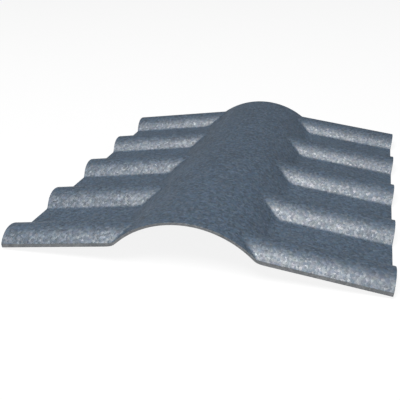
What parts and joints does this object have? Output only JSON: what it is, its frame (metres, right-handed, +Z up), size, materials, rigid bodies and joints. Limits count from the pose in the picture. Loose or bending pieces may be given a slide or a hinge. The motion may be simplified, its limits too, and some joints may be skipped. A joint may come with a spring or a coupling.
{
  "type": "roof ridge cap",
  "caption": "One-piece moulded ridge cap: a smooth roll along the ridge and two low sloping wings crossed by rounded ribs with flat pans between.",
  "frame": {"origin": "centre of the bounding box in plan, on the level floor under the two eaves the cap rests on", "axes": "+Z up, +Y along the ridge, +X across the ridge towards one eave"},
  "size_m": [0.432, 0.493, 0.0577],
  "materials": {
    "fibre_cement": "satin"
  },
  "bodies": {
    "root": {"ridge_cap": "fibre_cement"}
  },
  "joints": []
}
